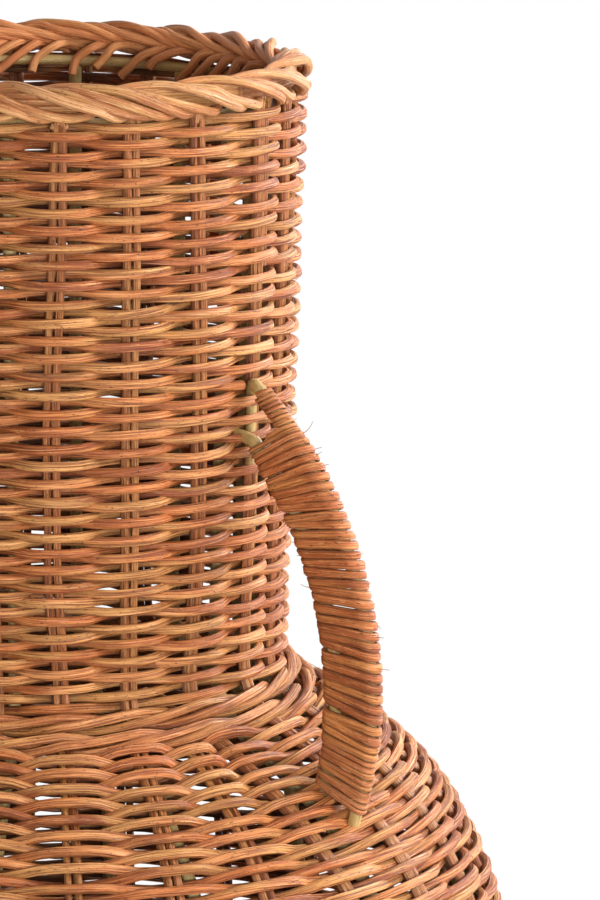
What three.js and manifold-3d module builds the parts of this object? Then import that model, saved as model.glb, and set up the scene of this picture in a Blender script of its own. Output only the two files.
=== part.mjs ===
// A rattan vase: a round neck and a wide belly woven over upright stakes, stiffened inside by bent cane
// posts, with a plaited rim and one wrapped handle. Millimetres, +Z up, origin on the floor under the middle
// of the vase, handle towards +X.
import * as THREE from "three";
import { mergeVertices } from "three/addons/utils/BufferGeometryUtils.js";
import Module from "manifold-3d";

// Outline of the woven wall, measured on its outer face
const HEIGHT = 470; // floor to the crest of the rim
const NECK_TOP_RADIUS = 83;
const NECK_FOOT_RADIUS = 77;
const NECK_FOOT_HEIGHT = 284;
const WALE_FLARE = 10; // how far the twined band widens from the neck to the shoulder
const WALE_DROP = 16; // how far it comes down on the way
const WALE_PROUD = 1; // how far it stands out of the weave
const SHOULDER_SLOPE = 31; // degrees below level where the shoulder starts
const SHOULDER_PULL = 51; // how long the shoulder keeps that slope
const BELLY_RADIUS = 152;
const BELLY_HEIGHT = 134; // height of the widest place
const BELLY_PULL_UP = 82; // how long the belly stays upright above and below it
const BELLY_PULL_DOWN = 58;
const BASE_RADIUS = 90; // flat underside
const BASE_PULL = 40; // how long the wall takes to turn into the base
const BASE_CROSS_RADIUS = 40; // middle of the base, where the stakes cross
const WALL = 8; // two weavers and the stake between them

// Canes
const STAKE_WIDTH = 5.2; // two canes side by side
const STAKE_THICKNESS = 2.6;
const NECK_STAKES = 22;
const ADDED_STAKES = 4; // set in below the neck, where the stakes spread
const POST_COUNT = 12;
const POST_DIAMETER = 4.2;
const RIM_HOOP_DIAMETER = 3.4;
const RIM_HOOP_RISE = 0.4; // middle of the hoop above the underside of the border
const BORDER_WIDTH = 13.2;
const BORDER_HEIGHT = 13;
const FOOT_CANE = 8;
const FOOT_HOOP_RADIUS = 84;

// Handle, in the plane through the axis and +X
const HANDLE_TOP_HEIGHT = 367; // where its middle line leaves the neck
const HANDLE_DIP = 43; // degrees below level there
const HANDLE_TOP_PULL = 56;
const HANDLE_FOOT_RADIUS = 115; // where its middle line meets the shoulder
const HANDLE_FOOT_LEAN = 15.5; // degrees out of plumb there
const HANDLE_FOOT_PULL = 36;
const HANDLE_STAKE_BEFORE = 15.5; // degrees from the handle to the neck stakes on both sides of it
const HANDLE_STAKE_AFTER = 5.5;
const CORE_DIAMETER = 4.4;
const CORE_SPACING = 13.2; // between the middles of the two handle canes
const WRAP_LOOPS = 24;
const WRAP_STRIP_WIDTH = 3.1;
const WRAP_STRIP_THICKNESS = 1.8;
const WRAP_TOP_GAP = 14; // bare cane between the neck and the first loop
const WRAP_FOOT_GAP = 4.5; // bare cane between the last loop and the shoulder
const WRAP_TOP_SLANT = 0.25; // slide of a loop along the handle for each step across it
const WRAP_FOOT_SLANT = 0.15;

// Clearances
const FIT = 0.3; // round a cane that lies in or against the weave
const SEAM = 0.3; // between two lengths of weave

// Fineness of the facets
const RING_SIDES = 36;
const CANE_SIDES = 6;
const CORE_SIDES = 8;
const BORDER_SIDES = 8;
const WALE_STEPS = 1;
const SHOULDER_STEPS = 2;
const BELLY_STEPS_ABOVE = 2;
const BELLY_STEPS_BELOW = 2;
const FOOT_STEPS = 3;
const CORE_STEPS = 16;
const TURN_STEPS = 3; // facets of a loop round each handle cane

const wasm = await Module();
wasm.setup();

const rad = THREE.MathUtils.degToRad;
const STAKE_DEPTH = WALL / 2;
const WEAVER = (WALL - STAKE_THICKNESS) / 2;
const WEAVE_SINK = STAKE_DEPTH - WEAVER / 2; // depth of the face where weavers cross between two stakes
const POST_DEPTH = WALL + FIT + POST_DIAMETER / 2;
const BELLY_STAKES = NECK_STAKES + ADDED_STAKES;
const BORDER_BOTTOM = HEIGHT - BORDER_HEIGHT;

// Solids and their geometry

function solidOf(geometry) {
  const bare = new THREE.BufferGeometry();
  bare.setAttribute("position", geometry.getAttribute("position"));
  bare.setIndex(geometry.index);
  const merged = mergeVertices(bare, 1e-4);
  const triVerts = new Uint32Array(merged.index.array);
  const vertProperties = merged.getAttribute("position").array;
  return new wasm.Manifold(new wasm.Mesh({ numProp: 3, vertProperties, triVerts }));
}

function geometryOf(solid) {
  const mesh = solid.getMesh();
  const geometry = new THREE.BufferGeometry();
  geometry.setAttribute("position", new THREE.BufferAttribute(mesh.vertProperties, 3));
  geometry.setIndex(new THREE.BufferAttribute(mesh.triVerts, 1));
  return geometry;
}

function cut(geometry, cutters) {
  return geometryOf(cutters.reduce((solid, cutter) => solid.subtract(cutter), solidOf(geometry)));
}

// A ring turned about the axis from a closed outline of (radius, height) points, given anticlockwise
function ring(outline) {
  return new THREE.LatheGeometry([...outline, outline[0]], RING_SIDES).rotateX(Math.PI / 2);
}

// An oval cane section as points, anticlockwise, with flats above and below
function oval(width, height, sides) {
  const stretch = 1 / Math.cos(Math.PI / sides);
  return Array.from({ length: sides }, (_, i) => {
    const turn = ((i + 0.5) * 2 * Math.PI) / sides - Math.PI / 2;
    return new THREE.Vector2(Math.cos(turn) * (width / 2), Math.sin(turn) * (height / 2) * stretch);
  });
}

function ovalRing(radius, height, width, thickness, sides) {
  const middle = new THREE.Vector2(radius, height);
  return ring(oval(width, thickness, sides).map((p) => p.add(middle)));
}

// A closed tube: a section carried along a line of places, each with the direction its face looks to.
// The ends are drawn out by reach along the line.
function sweep(places, section, reach = 0) {
  const last = places.length - 1;
  const along = places.map((_, i) => {
    const before = places[Math.max(i - 1, 0)].at;
    const after = places[Math.min(i + 1, last)].at;
    return after.clone().sub(before).normalize();
  });
  const rings = places.map(({ at, face }, i) => {
    const side = face.clone().cross(along[i]).normalize();
    const pull = (i === last ? reach : 0) - (i === 0 ? reach : 0);
    const middle = at.clone().addScaledVector(along[i], pull);
    return section.map((p) => middle.clone().addScaledVector(side, p.x).addScaledVector(face, p.y));
  });
  const n = section.length;
  const index = [];
  for (let i = 0; i < last; i += 1)
    for (let j = 0; j < n; j += 1) {
      const a = i * n + j;
      const b = i * n + ((j + 1) % n);
      index.push(a, b, b + n, a, b + n, a + n);
    }
  for (let j = 1; j < n - 1; j += 1) index.push(0, j + 1, j, last * n, last * n + j, last * n + j + 1);
  const geometry = new THREE.BufferGeometry().setFromPoints(rings.flat());
  return geometry.setIndex(index);
}

// A ring through sections in the order in which they come round, each a closed outline of as many points
function ringThrough(sections) {
  const n = sections[0].length;
  const index = [];
  sections.forEach((_, i) => {
    const here = i * n;
    const next = ((i + 1) % sections.length) * n;
    for (let j = 0; j < n; j += 1) {
      const k = (j + 1) % n;
      index.push(here + j, next + j, next + k, here + j, next + k, here + k);
    }
  });
  return new THREE.BufferGeometry().setFromPoints(sections.flat()).setIndex(index);
}

// The wall's outline, from the rim to the middle of the base, as places with their outward normals

const neckTop = new THREE.Vector2(NECK_TOP_RADIUS, BORDER_BOTTOM - SEAM);
const neckFoot = new THREE.Vector2(NECK_FOOT_RADIUS, NECK_FOOT_HEIGHT);
const waleFoot = new THREE.Vector2(NECK_FOOT_RADIUS + WALE_FLARE, NECK_FOOT_HEIGHT - WALE_DROP);
const belly = new THREE.Vector2(BELLY_RADIUS, BELLY_HEIGHT);
const baseEdge = new THREE.Vector2(BASE_RADIUS, FOOT_CANE + SEAM);
const baseMiddle = new THREE.Vector2(BASE_CROSS_RADIUS, baseEdge.y);
const neckWay = neckFoot.clone().sub(neckTop).normalize();
const shoulderWay = new THREE.Vector2(Math.cos(rad(SHOULDER_SLOPE)), -Math.sin(rad(SHOULDER_SLOPE)));
const down = new THREE.Vector2(0, -1);
const inward = new THREE.Vector2(-1, 0);

// A curve that leaves one place and reaches another in given directions
function bend(from, way, pull, to, endWay, endPull) {
  const first = from.clone().addScaledVector(way, pull);
  const second = to.clone().addScaledVector(endWay, -endPull);
  return new THREE.CubicBezierCurve(from, first, second, to);
}

const walePull = WALE_DROP / 2;
const upperBelly = bend(waleFoot, shoulderWay, SHOULDER_PULL, belly, down, BELLY_PULL_UP);
const lowerBelly = bend(belly, down, BELLY_PULL_DOWN, baseEdge, inward, BASE_PULL);
const lengths = {
  neck: [new THREE.LineCurve(neckTop, neckFoot), 1],
  wale: [bend(neckFoot, neckWay, walePull, waleFoot, shoulderWay, walePull), WALE_STEPS],
  upper: [upperBelly, SHOULDER_STEPS + BELLY_STEPS_ABOVE],
  lower: [lowerBelly, BELLY_STEPS_BELOW + FOOT_STEPS],
  base: [new THREE.LineCurve(baseEdge, baseMiddle), 1],
};
const wall = [{ at: neckTop, way: neckWay }];
for (const [curve, steps] of Object.values(lengths))
  for (let i = 1; i <= steps; i += 1)
    wall.push({ at: curve.getPointAt(i / steps), way: curve.getTangentAt(i / steps) });
const NECK_END = 1;
const WALE_END = NECK_END + WALE_STEPS;
const SHOULDER_END = WALE_END + SHOULDER_STEPS;
const BELLY_END = SHOULDER_END + BELLY_STEPS_ABOVE + BELLY_STEPS_BELOW;
const FOOT_END = BELLY_END + FOOT_STEPS;
const BASE_END = FOOT_END + 1;

const normal = (way) => new THREE.Vector2(-way.y, way.x);

// A place under the wall's outer face, moved along the wall by slide
function under({ at, way }, depth, slide = 0) {
  return at.clone().addScaledVector(normal(way), -depth).addScaledVector(way, slide);
}

// The same place turned out to an angle about the axis
function turned(point, angle) {
  return new THREE.Vector3(point.x * Math.cos(angle), point.x * Math.sin(angle), point.y);
}

// The outline of a length of wall between two places, anticlockwise, trimmed at its seams, from one depth to
// another, with the number of the place beside each point
function wallOutline(first, last, outside, inside) {
  const trim = (i) => {
    if (i === first && first > 0) return SEAM / 2;
    return i === last && last < BASE_END ? -SEAM / 2 : 0;
  };
  const steps = Array.from({ length: last - first + 1 }, (_, i) => first + i);
  const outer = steps.map((i) => ({ i, point: under(wall[i], outside, trim(i)) }));
  const inner = steps.map((i) => ({ i, point: under(wall[i], inside, trim(i)) }));
  return [...outer.reverse(), ...inner];
}

// Stakes: from the crossing in the base up the belly, drawn together over the shoulder, to the rim

// A pair of canes as one flat section, with room round it where it is a bore
function pairSection(room) {
  const corners = [
    [-1, -1],
    [1, -1],
    [1, 1],
    [-1, 1],
  ];
  return corners.map(
    ([x, y]) => new THREE.Vector2(x * (STAKE_WIDTH / 2 + room), y * (STAKE_THICKNESS / 2 + room)),
  );
}

const stakeSection = pairSection(0);
const stakeBore = pairSection(FIT);

const neckStep = (360 - HANDLE_STAKE_BEFORE - HANDLE_STAKE_AFTER) / (NECK_STAKES - 1);
const neckAngle = (k) => rad(HANDLE_STAKE_AFTER + k * neckStep);
const bellyAngle = (j) => rad(((j + 0.5) * 360) / BELLY_STAKES);
const addedColumns = Array.from(
  { length: ADDED_STAKES },
  (_, m) => BELLY_STAKES - 2 - Math.floor((m * BELLY_STAKES) / ADDED_STAKES),
);
const allColumns = Array.from({ length: BELLY_STAKES }, (_, j) => j);
const neckColumns = allColumns.filter((j) => !addedColumns.includes(j));

// The angle of a column's stake at a place on the outline: those of the neck spread out over the shoulder
function columnAngle(column, i) {
  const k = neckColumns.indexOf(column);
  if (k < 0) return bellyAngle(column);
  const spread = THREE.MathUtils.smoothstep(i, NECK_END, SHOULDER_END);
  return THREE.MathUtils.lerp(neckAngle(k), bellyAngle(column), spread);
}

function stakePlaces(first, column) {
  return wall.slice(first).map((place, i) => {
    const angle = columnAngle(column, first + i);
    const slide = i === 0 && first > 0 ? SEAM / 2 : 0;
    return { at: turned(under(place, STAKE_DEPTH, slide), angle), face: turned(normal(place.way), angle) };
  });
}

// A length of weave: its outer face stands out over each stake and sinks between two stakes, where the
// weavers cross from the outside to the inside. Its inner face is eased there, so its flats clear the posts.
function weaveRing(first, last, columns) {
  const sections = columns.flatMap((column, k) => {
    const after = (k + 1) % columns.length;
    const halfWay = (i) => {
      const next = columnAngle(columns[after], i) + (after === 0 ? 2 * Math.PI : 0);
      return (columnAngle(column, i) + next) / 2;
    };
    const thick = wallOutline(first, last, 0, WALL);
    const thin = wallOutline(first, last, WEAVE_SINK, WALL - FIT);
    const overStake = thick.map(({ i, point }) => turned(point, columnAngle(column, i)));
    const between = thin.map(({ i, point }) => turned(point, halfWay(i)));
    return [overStake, between];
  });
  return ringThrough(sections);
}

const neckStakes = neckColumns.map((column) => stakePlaces(0, column));
const addedStakes = addedColumns.map((column) => stakePlaces(WALE_END, column));
const neckBores = neckStakes.map((places) => solidOf(sweep(places, stakeBore, SEAM)));
const addedBores = addedStakes.map((places) => solidOf(sweep(places, stakeBore, SEAM)));
const allBores = [...neckBores, ...addedBores];

// Handle: two canes side by side that enter the weave at both ends, bound by one strip

const neckWallAt = (height) => {
  const share = (height - neckFoot.y) / (neckTop.y - neckFoot.y);
  return new THREE.Vector2(THREE.MathUtils.lerp(neckFoot.x, neckTop.x, share), height);
};

// How far a line in the handle's plane runs before it meets the wall at a depth
function reachWall(from, way, depth) {
  const face = wall.slice(0, BELLY_END + 1).map((place) => under(place, depth));
  const reaches = face.slice(1).map((b, i) => {
    const edge = b.clone().sub(face[i]);
    const gap = face[i].clone().sub(from);
    const spread = way.cross(edge);
    const onEdge = gap.cross(way) / spread;
    const reach = gap.cross(edge) / spread;
    return onEdge >= 0 && onEdge <= 1 && reach > 0 ? reach : Infinity;
  });
  return Math.min(...reaches);
}

const handleTop = neckWallAt(HANDLE_TOP_HEIGHT);
const overFoot = new THREE.Vector2(HANDLE_FOOT_RADIUS, HANDLE_TOP_HEIGHT);
const handleFoot = overFoot.clone().addScaledVector(down, reachWall(overFoot, down, 0));
const topWay = new THREE.Vector2(Math.cos(rad(HANDLE_DIP)), -Math.sin(rad(HANDLE_DIP)));
const footWay = new THREE.Vector2(-Math.sin(rad(HANDLE_FOOT_LEAN)), -Math.cos(rad(HANDLE_FOOT_LEAN)));
const handleLine = bend(handleTop, topWay, HANDLE_TOP_PULL, handleFoot, footWay, HANDLE_FOOT_PULL);
const handleLength = handleLine.getLength();
const CORE_SEAT_DEPTH = WALL - CORE_DIAMETER / 2;

// A handle cane's places, off the middle line by offset, with both ends let into the weave
function corePlaces(offset) {
  const inPlane = (p) => new THREE.Vector3(p.x, 0, p.y);
  const points = Array.from({ length: CORE_STEPS + 1 }, (_, i) => {
    const way = handleLine.getTangentAt(i / CORE_STEPS);
    const at = handleLine.getPointAt(i / CORE_STEPS).addScaledVector(normal(way), offset);
    return { at, way };
  });
  const start = points[0];
  const end = points[CORE_STEPS];
  const back = start.way.clone().negate();
  start.at.addScaledVector(back, reachWall(start.at, back, CORE_SEAT_DEPTH));
  end.at.addScaledVector(end.way, reachWall(end.at, end.way, CORE_SEAT_DEPTH));
  return points.map(({ at, way }) => ({ at: inPlane(at), face: inPlane(normal(way)) }));
}

const outerCore = corePlaces(CORE_SPACING / 2);
const innerCore = corePlaces(-CORE_SPACING / 2);
const coreSection = oval(CORE_DIAMETER, CORE_DIAMETER, CORE_SIDES);
const coreBoreSize = CORE_DIAMETER + 2 * FIT;
const coreBore = oval(coreBoreSize, coreBoreSize, CORE_SIDES);
const coreBores = [outerCore, innerCore].map((places) => solidOf(sweep(places, coreBore, CORE_DIAMETER)));

// The strip's way round the two canes: half a turn about each, at a radius that clears it between facets
function wrapLoop() {
  const half = Math.PI / 2;
  const radius = (CORE_DIAMETER / 2 + FIT + WRAP_STRIP_THICKNESS / 2) / Math.cos(half / TURN_STEPS);
  const stops = [];
  for (const [side, from] of [
    [1, -half],
    [-1, half],
  ])
    for (let i = 0; i <= TURN_STEPS; i += 1) {
      const turn = from + (i * Math.PI) / TURN_STEPS;
      const across = (side * CORE_SPACING) / 2 + radius * Math.cos(turn);
      stops.push({ across, beside: radius * Math.sin(turn), turn });
    }
  return stops;
}

function wrapPlaces() {
  const loop = wrapLoop();
  const count = WRAP_LOOPS * loop.length;
  const span = handleLength - WRAP_TOP_GAP - WRAP_FOOT_GAP;
  const places = [];
  for (let i = 0; i <= count; i += 1) {
    const share = i / count;
    const stop = loop[i % loop.length];
    const slant = THREE.MathUtils.lerp(WRAP_TOP_SLANT, WRAP_FOOT_SLANT, share);
    const run = (WRAP_TOP_GAP + span * share) / handleLength;
    const way = handleLine.getTangentAt(run);
    const out = normal(way);
    const at = handleLine.getPointAt(run).addScaledVector(out, stop.across);
    at.addScaledVector(way, slant * stop.across);
    out.multiplyScalar(Math.cos(stop.turn));
    places.push({
      at: new THREE.Vector3(at.x, stop.beside, at.y),
      face: new THREE.Vector3(out.x, Math.sin(stop.turn), out.y),
    });
  }
  return places;
}

const wrap = wrapPlaces();
const stripSection = oval(WRAP_STRIP_WIDTH, WRAP_STRIP_THICKNESS, CANE_SIDES);

// Least gap between one loop of the strip and the next, on the corners of its sections
function leastGap(geometry, perLoop, perRing) {
  const corners = geometry.getAttribute("position");
  const a = new THREE.Vector3();
  const b = new THREE.Vector3();
  let least = Infinity;
  for (let i = 0; i < corners.count; i += 1)
    for (let j = i + (perLoop * perRing) / 2; j < corners.count; j += 1) {
      a.fromBufferAttribute(corners, i);
      least = Math.min(least, a.distanceTo(b.fromBufferAttribute(corners, j)));
    }
  return least;
}

// The assembly

const vase = new THREE.Group();
const finish = (color, roughness) => new THREE.MeshStandardMaterial({ color, roughness, metalness: 0 });

function add(name, geometry, color, roughness) {
  const mesh = new THREE.Mesh(geometry, finish(color, roughness));
  mesh.name = name;
  vase.add(mesh);
}

const number = (i) => String(i + 1).padStart(2, "0");
const WEAVE = 0xb8773f;
const HONEY = 0xd09a5e;
const PEELED = 0xc9ae7c;
const WRAP = 0xa9633a;

// Rim: the plait over the stake ends, and the hoop inside it on top of the posts
const stakeTop = under(wall[0], STAKE_DEPTH);
const postTop = under(wall[0], POST_DEPTH);
const borderMiddle = BORDER_BOTTOM + BORDER_HEIGHT / 2;
const hoopMiddle = BORDER_BOTTOM + RIM_HOOP_RISE;
add("rim_border", ovalRing(stakeTop.x, borderMiddle, BORDER_WIDTH, BORDER_HEIGHT, BORDER_SIDES), HONEY, 0.6);
add(
  "rim_hoop",
  ovalRing(postTop.x, hoopMiddle, RIM_HOOP_DIAMETER, RIM_HOOP_DIAMETER, CANE_SIDES),
  PEELED,
  0.55,
);

// Weave: neck, twined band, shoulder, belly, foot and base, each bored for the stakes that run through it
const plainRing = (first, last, proud) =>
  ring(wallOutline(first, last, -proud, WALL).map(({ point }) => point));
add("neck_weave", cut(weaveRing(0, NECK_END, neckColumns), [...neckBores, ...coreBores]), WEAVE, 0.65);
add("shoulder_wale", cut(plainRing(NECK_END, WALE_END, WALE_PROUD), neckBores), HONEY, 0.6);
const shoulderWeave = weaveRing(WALE_END, SHOULDER_END, allColumns);
add("shoulder_weave", cut(shoulderWeave, [...allBores, ...coreBores]), WEAVE, 0.65);
add("belly_weave", cut(weaveRing(SHOULDER_END, BELLY_END, allColumns), allBores), WEAVE, 0.65);
add("foot_weave", cut(weaveRing(BELLY_END, FOOT_END, allColumns), allBores), WEAVE, 0.65);
add("base_weave", cut(plainRing(FOOT_END, BASE_END, 0), allBores), WEAVE, 0.7);

// Base: the crossing of the stakes, and the cane ring that the vase stands on
const crossRadius = BASE_CROSS_RADIUS - SEAM;
const baseCross = new THREE.CylinderGeometry(crossRadius, crossRadius, WALL, RING_SIDES);
add("base_cross", baseCross.rotateX(Math.PI / 2).translate(0, 0, baseEdge.y + WALL / 2), WEAVE, 0.7);
add("foot_hoop", ovalRing(FOOT_HOOP_RADIUS, FOOT_CANE / 2, FOOT_CANE, FOOT_CANE, CANE_SIDES), PEELED, 0.6);

neckStakes.forEach((places, k) => add("stake_" + number(k), sweep(places, stakeSection), WEAVE, 0.65));
addedStakes.forEach((places, m) => add("added_stake_" + (m + 1), sweep(places, stakeSection), WEAVE, 0.65));

// Posts: bent canes against the inside of the weave, from the rim hoop down to the base
const postSection = oval(POST_DIAMETER, POST_DIAMETER, CANE_SIDES);
const postDrop = (postTop.y - (hoopMiddle - RIM_HOOP_DIAMETER / 2 - FIT)) / -neckWay.y;
for (let i = 0; i < POST_COUNT; i += 1) {
  const angle = (i * 2 * Math.PI) / POST_COUNT;
  const places = wall.slice(0, FOOT_END + 1).map((place, step) => ({
    at: turned(under(place, POST_DEPTH, step === 0 ? postDrop : 0), angle),
    face: turned(normal(place.way), angle),
  }));
  add("frame_post_" + number(i), sweep(places, postSection), PEELED, 0.55);
}

add("handle_core_outer", sweep(outerCore, coreSection), PEELED, 0.55);
add("handle_core_inner", sweep(innerCore, coreSection), PEELED, 0.55);
const strip = sweep(wrap, stripSection, WRAP_STRIP_THICKNESS);
add("handle_wrap", strip, WRAP, 0.6);
const gap = leastGap(strip, wrapLoop().length, CANE_SIDES);
console.log("handle_wrap: least gap between loops " + gap.toFixed(2) + " mm");

export default vase;
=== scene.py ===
import math

import bmesh
import bpy
import numpy as np
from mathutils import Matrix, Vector
from mathutils.geometry import interpolate_bezier


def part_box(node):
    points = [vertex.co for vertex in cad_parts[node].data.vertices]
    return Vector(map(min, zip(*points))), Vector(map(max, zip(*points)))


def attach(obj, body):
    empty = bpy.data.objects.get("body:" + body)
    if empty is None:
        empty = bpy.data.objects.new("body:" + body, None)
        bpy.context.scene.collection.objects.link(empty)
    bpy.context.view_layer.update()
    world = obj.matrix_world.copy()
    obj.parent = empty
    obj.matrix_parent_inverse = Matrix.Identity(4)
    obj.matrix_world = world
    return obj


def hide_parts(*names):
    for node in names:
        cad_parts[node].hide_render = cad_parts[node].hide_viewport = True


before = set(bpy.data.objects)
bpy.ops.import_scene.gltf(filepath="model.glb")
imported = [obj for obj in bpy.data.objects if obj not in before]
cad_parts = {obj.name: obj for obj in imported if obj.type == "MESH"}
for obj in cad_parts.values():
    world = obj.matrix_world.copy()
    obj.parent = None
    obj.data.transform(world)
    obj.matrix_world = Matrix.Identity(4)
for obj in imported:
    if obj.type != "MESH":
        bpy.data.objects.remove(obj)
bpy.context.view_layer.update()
mm = 0.001


# Stakes. Each is a pair of round core canes that leaves the crossing in the base, turns up the belly and is
# drawn in over the shoulder to the rim. The canes are bent wet, and the weaving holds them; four more pairs
# are pushed in under the neck, where the others spread too far apart.

stake_cane = 2.7 * mm
stake_depth = 4 * mm
stake_step = 3.4 * mm
border_lap = 3 * mm
neck_top = Vector((83 * mm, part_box("neck_weave")[1].z))
neck_foot = Vector((77 * mm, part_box("shoulder_wale")[1].z))
shoulder_top = Vector((87 * mm, 268 * mm))
shoulder_slope = math.radians(31)
widest = Vector((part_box("belly_weave")[1].y, 134 * mm))
base_edge = Vector((90 * mm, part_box("base_weave")[0].z))
base_middle = Vector((40 * mm, base_edge.y))
neck_way = (neck_foot - neck_top).normalized()
weave_top = neck_top - neck_way * border_lap
shoulder_way = Vector((math.cos(shoulder_slope), -math.sin(shoulder_slope)))
down = Vector((0, -1))
inward = Vector((-1, 0))


def bend(start, way, pull, end, end_way, end_pull, steps=120):
    """Points of a curve that leaves one place and reaches another in given directions."""
    return interpolate_bezier(start, start + way * pull, end - end_way * end_pull, end, steps)


# The wall's outer face from the rim to the middle of the base, as radius and height, and the run along it
stretches = [
    bend(weave_top, neck_way, 50 * mm, neck_foot, neck_way, 50 * mm),
    bend(neck_foot, neck_way, 8 * mm, shoulder_top, shoulder_way, 8 * mm),
    bend(shoulder_top, shoulder_way, 51 * mm, widest, down, 82 * mm),
    bend(widest, down, 58 * mm, base_edge, inward, 40 * mm),
    bend(base_edge, inward, 15 * mm, base_middle, inward, 15 * mm),
]
outline = np.array([stretches[0][0]] + [point for stretch in stretches for point in stretch[1:]])
run = np.append(0, np.cumsum(np.linalg.norm(np.diff(outline, axis=0), axis=1)))
neck_end, wale_end, belly_middle, foot_end, base_end = run[np.cumsum([len(s) - 1 for s in stretches])]
wall_way = np.gradient(outline, run, axis=0)
wall_way /= np.linalg.norm(wall_way, axis=1)[:, None]


# The mouth is not quite level: the weave is drawn down towards the handle
rim_lean = 1.6 * mm
rim_level = 1 * mm
rim_lean_reach = 100 * mm


def rim_rise(angle):
    """How far the mouth lies above its level in the frame, at an angle about the axis."""
    return rim_level - rim_lean * np.cos(angle)


def on_wall(along, angle, depth):
    """Points under the wall's outer face, along the run and turned to an angle about the axis."""
    radius = np.interp(along, run, outline[:, 0]) + depth * np.interp(along, run, wall_way[:, 1])
    height = np.interp(along, run, outline[:, 1]) - depth * np.interp(along, run, wall_way[:, 0])
    height = height + rim_rise(angle) * np.clip(1 - along / rim_lean_reach, 0, 1)
    return np.stack([radius * np.cos(angle), radius * np.sin(angle), height], axis=-1)


# The neck's stakes stand at even steps, with a wider one at the handle
neck_stakes = 22
first_stake = math.radians(5.5)
last_stake = math.radians(344.5)
neck_step = (last_stake - first_stake) / (neck_stakes - 1)
# Columns of the belly, counted from the handle, that hold an added pair
added_columns = (24, 18, 11, 5)
columns = neck_stakes + len(added_columns)
neck_columns = [column for column in range(columns) if column not in added_columns]
shoulder_end = (wale_end + belly_middle) / 2
spread_runs = [neck_end, wale_end, (wale_end + shoulder_end) / 2, shoulder_end]
# Beside the handle the weaving has pushed the stakes of the neck a little apart
parting = math.radians(4)
parting_middle = math.radians(-31.5)
parting_width = math.radians(16)
parting_runs = [0, 90 * mm, 140 * mm, wale_end]


def stake_angle(column, along):
    """The angle of a belly column's stake along the run, drawn over to its place on the neck."""
    low = (column + 0.5) * 2 * math.pi / columns
    if column in added_columns:
        return np.full_like(along, low)
    high = first_stake + neck_columns.index(column) * neck_step
    off = math.remainder(high - parting_middle, 2 * math.pi) / parting_width
    pushed = parting * off * math.exp(-off * off / 2) * np.interp(along, parting_runs, [0, 1, 1, 0])
    share = np.interp(along, spread_runs, [0, 1 / 3, 2 / 3, 1])
    return high + pushed + (low - high) * share * share * (3 - 2 * share)


def wander(rng, turn, waves, amount):
    """A smooth drift made of a few waves over one turn, which closes on itself."""
    size = amount / math.sqrt(len(waves))
    drifts = [rng.normal(0, size) * np.sin(wave * turn + rng.uniform(0, 2 * math.pi)) for wave in waves]
    return np.sum(drifts, axis=0)


def with_cut_ends(points, radii):
    """The same cane with a blunt, slightly eased cut at both ends."""
    cut_rise = 0.2
    edge_rise = 0.14
    edge_reach = 0.82
    first = (points[0] - points[1]) / np.linalg.norm(points[0] - points[1]) * radii[0]
    last = (points[-1] - points[-2]) / np.linalg.norm(points[-1] - points[-2]) * radii[-1]
    before = [points[0] + cut_rise * first, points[0] + edge_rise * first]
    after = [points[-1] + edge_rise * last, points[-1] + cut_rise * last]
    eased = np.concatenate([[0, edge_reach * radii[0]], radii, [edge_reach * radii[-1], 0]])
    return np.vstack([before, points, after]), eased


# The outline across a cane, as its reach at even steps round it: core cane has flats between low ridges
ridged_cane = [1.06, 0.95, 0.94, 1.05, 0.93, 0.92, 1.04, 0.97, 0.92, 0.98]
round_cane = [1] * 8
# Edges that turn by more than this stay crisp, and points this near to each other at a cut end are one
crisp_ridge = math.radians(47)
weld_reach = 0.001 * mm

# Stretches that lie deep under the wall's outer face take a shaded colour: painted shade in the recesses of
# the weave, and a painted warm bounce light on the inner stretches of the border. How deep a stretch lies is
# measured from every fifth point of the outline
shade_start_depth = 4 * mm
stained_depth = 7.5 * mm
mark_step = 5


def shade_under_wall(places, lay):
    """How deep points lie under the wall's outer face, from 0 to 1, as the mask of painted shading."""
    spots = np.stack([np.hypot(places[:, 0], places[:, 1]), places[:, 2]], axis=1)
    marks = outline[::mark_step]
    ways = wall_way[::mark_step]
    nearest = np.argmin(np.sum(marks ** 2, axis=1) - 2 * spots @ marks.T, axis=1)
    off = spots - marks[nearest]
    depth = off[:, 0] * ways[nearest, 1] - off[:, 1] * ways[nearest, 0]
    return np.clip((depth - shade_start_depth) / (stained_depth - shade_start_depth), 0, 1)


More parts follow.
